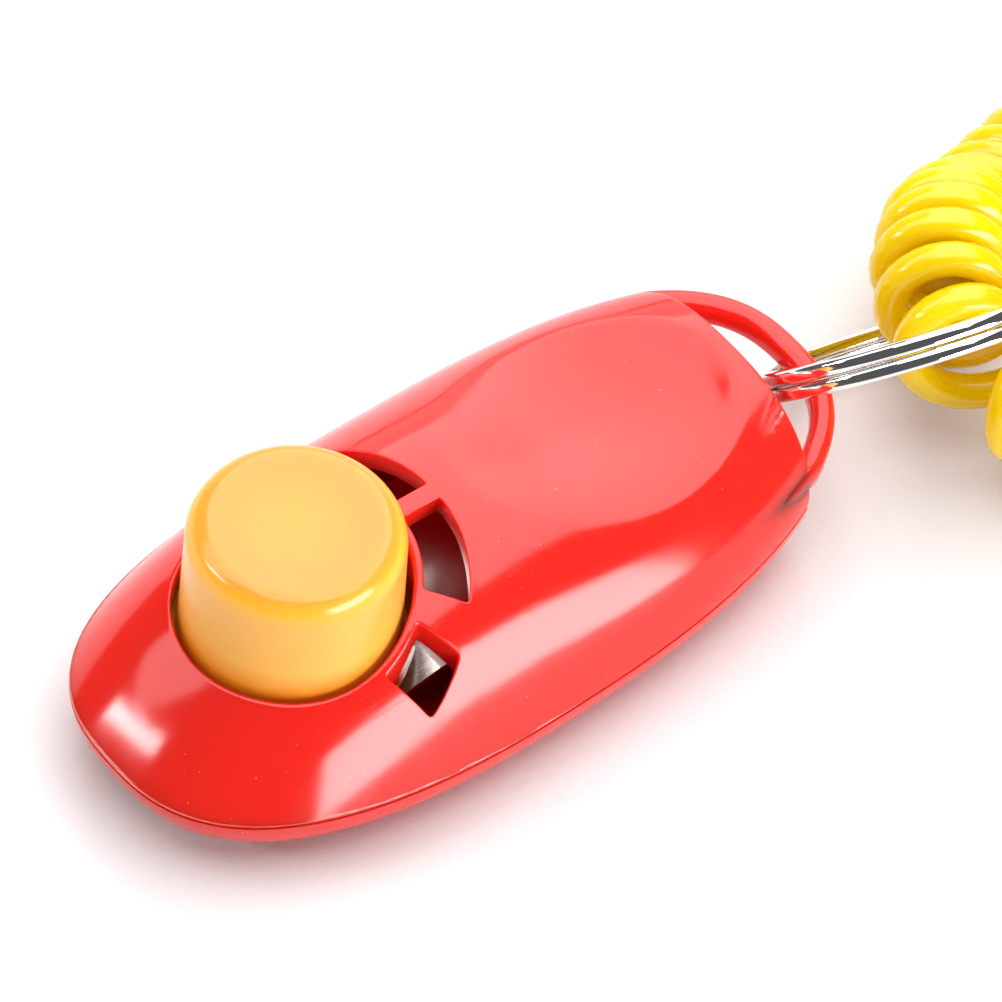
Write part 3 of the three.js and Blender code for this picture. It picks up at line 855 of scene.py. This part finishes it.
class Paint:
    """A node material with short ways to add the nodes that these finishes need."""

    def __init__(self, name, **sockets):
        self.material = bpy.data.materials.new(name)
        self.material.use_nodes = True
        self.nodes, self.links = self.material.node_tree.nodes, self.material.node_tree.links
        self.shader = self.nodes["Principled BSDF"]
        for key, value in sockets.items():
            self.shader.inputs[key.replace("_", " ")].default_value = value

    def node(self, kind, **settings):
        made = self.nodes.new(kind)
        for key, value in settings.items():
            if key in made.inputs:
                made.inputs[key].default_value = value
            else:
                setattr(made, key, value)
        return made

    def join(self, source, target):
        self.links.new(source, target)

    def places(self, stretch=(1, 1, 1)):
        """Object coordinates in millimetres, stretched."""
        texture = self.node("ShaderNodeTexCoord")
        mapping = self.node("ShaderNodeMapping")
        mapping.inputs["Scale"].default_value = [1000 * s for s in stretch]
        self.join(texture.outputs["Object"], mapping.inputs["Vector"])
        return mapping.outputs["Vector"]

    def noise(self, scale, detail, stretch=(1, 1, 1)):
        made = self.node("ShaderNodeTexNoise", Scale=scale, Detail=detail, Roughness=0.55)
        self.join(self.places(stretch), made.inputs["Vector"])
        return made.outputs["Fac"]

    def ramp(self, source, *stops):
        made = self.node("ShaderNodeValToRGB")
        elements = made.color_ramp.elements
        while len(elements) < len(stops):
            elements.new(0.5)
        for element, (place, colour) in zip(elements, stops):
            element.position = place
            element.color = (*colour, 1)
        self.join(source, made.inputs["Fac"])
        return made.outputs["Color"]

    def range(self, source, low, high, start=0.0, end=1.0):
        made = self.node("ShaderNodeMapRange")
        for key, value in (("From Min", start), ("From Max", end), ("To Min", low), ("To Max", high)):
            made.inputs[key].default_value = value
        self.join(source, made.inputs["Value"])
        return made.outputs["Result"]

    def mix(self, factor, a, b):
        made = self.node("ShaderNodeMix", data_type="RGBA")
        self.join(factor, made.inputs["Factor"])
        for value, socket in ((a, made.inputs["A"]), (b, made.inputs["B"])):
            if isinstance(value, tuple):
                socket.default_value = (*value, 1)
            else:
                self.join(value, socket)
        return made.outputs["Result"]

    def bump(self, source, depth, under=None):
        made = self.node("ShaderNodeBump", Distance=depth * MM)
        self.join(source, made.inputs["Height"])
        if under is not None:
            self.join(under, made.inputs["Normal"])
        return made.outputs["Normal"]

    def colour(self, source):
        self.join(source, self.shader.inputs["Base Color"])

    def roughness(self, source):
        self.join(source, self.shader.inputs["Roughness"])

    def normal(self, source):
        self.join(source, self.shader.inputs["Normal"])


def red_plastic():
    paint = Paint("red_plastic", IOR=1.5, Subsurface_Weight=0.8, Subsurface_Scale=0.003)
    paint.shader.inputs["Subsurface Radius"].default_value = (1.0, 0.12, 0.08)
    tint = paint.mix(paint.noise(0.06, 2), (0.62, 0.013, 0.008), (0.68, 0.019, 0.012))
    dust = paint.ramp(paint.noise(2.6, 1), (0.785, (0, 0, 0)), (0.81, (1, 1, 1)))
    paint.colour(paint.mix(dust, tint, (0.8, 0.16, 0.14)))
    scratches = paint.ramp(paint.noise(0.5, 4, stretch=(0.35, 5, 1)), (0.60, (0, 0, 0)), (0.68, (1, 1, 1)))
    paint.roughness(paint.range(paint.noise(0.4, 5), 0.09, 0.17))
    fine = paint.bump(paint.noise(0.35, 3), 0.006)
    paint.normal(paint.bump(scratches, 0.0025, fine))
    return paint.material


def button_plastic():
    low, high = bottom_of("button"), top_of("button")
    paint = Paint("button_plastic", IOR=1.5, Subsurface_Weight=0.6, Subsurface_Scale=0.005)
    paint.shader.inputs["Subsurface Radius"].default_value = (1.0, 0.45, 0.1)
    # Colour by height is painted light: the darker, deeper orange towards the base is painted shade, and the
    # tints at the crown's rim and on the top are painted light.
    split = paint.node("ShaderNodeSeparateXYZ")
    paint.join(paint.places(), split.inputs["Vector"])
    height = paint.range(split.outputs["Z"], 0, 1, low, high)
    body = paint.ramp(height, (0.30, (0.90, 0.24, 0.012)), (0.50, (1.0, 0.43, 0.065)),
                      (0.84, (1.0, 0.42, 0.07)), (0.94, (0.96, 0.42, 0.03)),
                      (0.99, (0.90, 0.30, 0.035)))
    dust = paint.ramp(paint.noise(2.2, 1), (0.79, (0, 0, 0)), (0.81, (1, 1, 1)))
    paint.colour(paint.mix(dust, body, (0.75, 0.35, 0.1)))
    paint.roughness(paint.range(paint.noise(0.3, 4), 0.16, 0.24))
    paint.normal(paint.bump(paint.noise(0.3, 3), 0.008))
    return paint.material


def yellow_cord():
    paint = Paint("yellow_cord", IOR=1.48, Subsurface_Weight=0.9, Subsurface_Scale=0.010,
                  Transmission_Weight=0.1)
    paint.shader.inputs["Subsurface Radius"].default_value = (1.0, 0.8, 0.05)
    paint.colour(paint.mix(paint.noise(0.12, 2), (0.98, 0.52, 0.002), (0.99, 0.58, 0.003)))
    paint.roughness(paint.range(paint.noise(0.5, 3), 0.12, 0.2))
    paint.normal(paint.bump(paint.noise(0.8, 2), 0.01))
    return paint.material


def chrome():
    paint = Paint("chrome_ring", Metallic=1.0)
    paint.colour(paint.mix(paint.noise(0.4, 3), (0.82, 0.81, 0.80), (0.93, 0.93, 0.93)))
    paint.roughness(paint.range(paint.noise(1.5, 5), 0.03, 0.09))
    paint.normal(paint.bump(paint.noise(0.9, 4), 0.004))
    return paint.material


def spring_steel():
    paint = Paint("spring_steel", Metallic=1.0)
    paint.colour(paint.mix(paint.noise(1.2, 4), (0.52, 0.49, 0.47), (0.78, 0.76, 0.74)))
    grain = paint.noise(1.6, 5, stretch=(0.5, 2.5, 1))
    paint.roughness(paint.range(grain, 0.14, 0.28))
    paint.normal(paint.bump(grain, 0.004))
    return paint.material


def zinc_steel():
    paint = Paint("zinc_steel", Metallic=1.0)
    paint.colour(paint.mix(paint.noise(0.9, 4), (0.55, 0.56, 0.58), (0.74, 0.74, 0.75)))
    paint.roughness(paint.range(paint.noise(1.8, 4), 0.2, 0.38))
    paint.normal(paint.bump(paint.noise(2.2, 4), 0.01))
    return paint.material


def table_paper():
    paint = Paint("table_paper", Roughness=0.75)
    paint.colour(paint.mix(paint.noise(0.02, 2), (0.66, 0.645, 0.65), (0.69, 0.675, 0.68)))
    paint.normal(paint.bump(paint.noise(1.4, 5), 0.05))
    return paint.material


# ---------------------------------------------------------------- floor and light


def add_floor():
    low = min(cad_low.z, 0.0)
    size = 3.0
    mesh = bpy.data.meshes.new("floor")
    mesh.from_pydata([(-size, -size, low), (size, -size, low), (size, size, low), (-size, size, low)],
                     [], [(0, 1, 2, 3)])
    mesh.materials.append(table_paper())
    floor = bpy.data.objects.new("floor", mesh)
    bpy.context.scene.collection.objects.link(floor)


def add_softbox(name, place, facing, along, width, height, radiance):
    """A rectangular softbox at a place, its width along one direction, as bright as its radiance."""
    light = bpy.data.lights.new(name, "AREA")
    light.shape = "RECTANGLE"
    light.size, light.size_y = width, height
    light.energy = radiance * math.pi * width * height
    away = -Vector(facing).normalized()
    across = Vector(along) - away * Vector(along).dot(away)
    across.normalize()
    turn = Matrix((across, away.cross(across), away)).transposed().to_4x4()
    turn.translation = Vector(place)
    lamp = bpy.data.objects.new(name, light)
    lamp.matrix_world = turn
    bpy.context.scene.collection.objects.link(lamp)


def toward(azimuth, elevation, distance):
    """A place in a direction from the clicker, in degrees and metres."""
    a, e = math.radians(azimuth), math.radians(elevation)
    return Vector((math.cos(a) * math.cos(e), math.sin(a) * math.cos(e), math.sin(e))) * distance


def add_lights():
    """A long panel overhead with a wing, a dim wall beyond, a low window near, and a strip to the left."""
    world = bpy.data.worlds.new("studio")
    world.use_nodes = True
    background = world.node_tree.nodes["Background"]
    background.inputs["Color"].default_value = (1.0, 1.0, 1.0, 1)
    background.inputs["Strength"].default_value = 0.10
    bpy.context.scene.world = world
    down, panel_along = (0, 0, -1), (0.609, 0.793, 0)
    add_softbox("overhead_panel", (0.848, 0.655, 1.0), down, panel_along, 3.0, 1.3, 3.2)
    add_softbox("overhead_wing", (-0.764, 0.872, 1.0), down, panel_along, 0.72, 1.48, 3.0)
    far = toward(50, 13, 1.4)
    add_softbox("far_wall", far, -far, (-0.766, 0.643, 0), 1.7, 0.5, 1.2)
    near = toward(-78, 11, 0.8)
    add_softbox("near_window", near, -near, (1, 0.21, 0.08), 0.60, 0.29, 12.0)
    strip = toward(148.6, 25.5, 0.9)
    add_softbox("left_strip", strip, -strip, (0.2, 0.6, -0.3), 0.36, 0.065, 24.0)


# ---------------------------------------------------------------- assembly

add_camera()
cord_material = yellow_cord()
cord, cord_path, cord_length = wrist_coil(cord_material)
sleeve = piece("coil_sleeve_joint", coil_sleeve(), cord_material, "strap", "yellow_cord", "coil_sleeve")

red, zinc = red_plastic(), zinc_steel()
piece("case_top", top_shell(), red, "case", "red_plastic", "top_shell", sharp=50)
piece("case_bottom", bottom_shell(), red, "case", "red_plastic", "bottom_shell", sharp=50)
piece("push_button", button(), button_plastic(), "button", "button_plastic", "button")
piece("reed", click_reed(), spring_steel(), "reed", "spring_steel", "click_reed", sharp=8)
piece("split_ring", key_ring(), chrome(), "ring", "chrome_ring", "key_ring", sharp=60)
for node, head_up in (("reed_screw_left", True), ("reed_screw_right", True),
                      ("case_screw_front", False), ("case_screw_rear", False)):
    piece(node + "_detailed", screw(node, head_up), zinc, "case", "zinc_steel", node)

add_floor()
add_lights()
bpy.context.scene.view_settings.view_transform = "Standard"
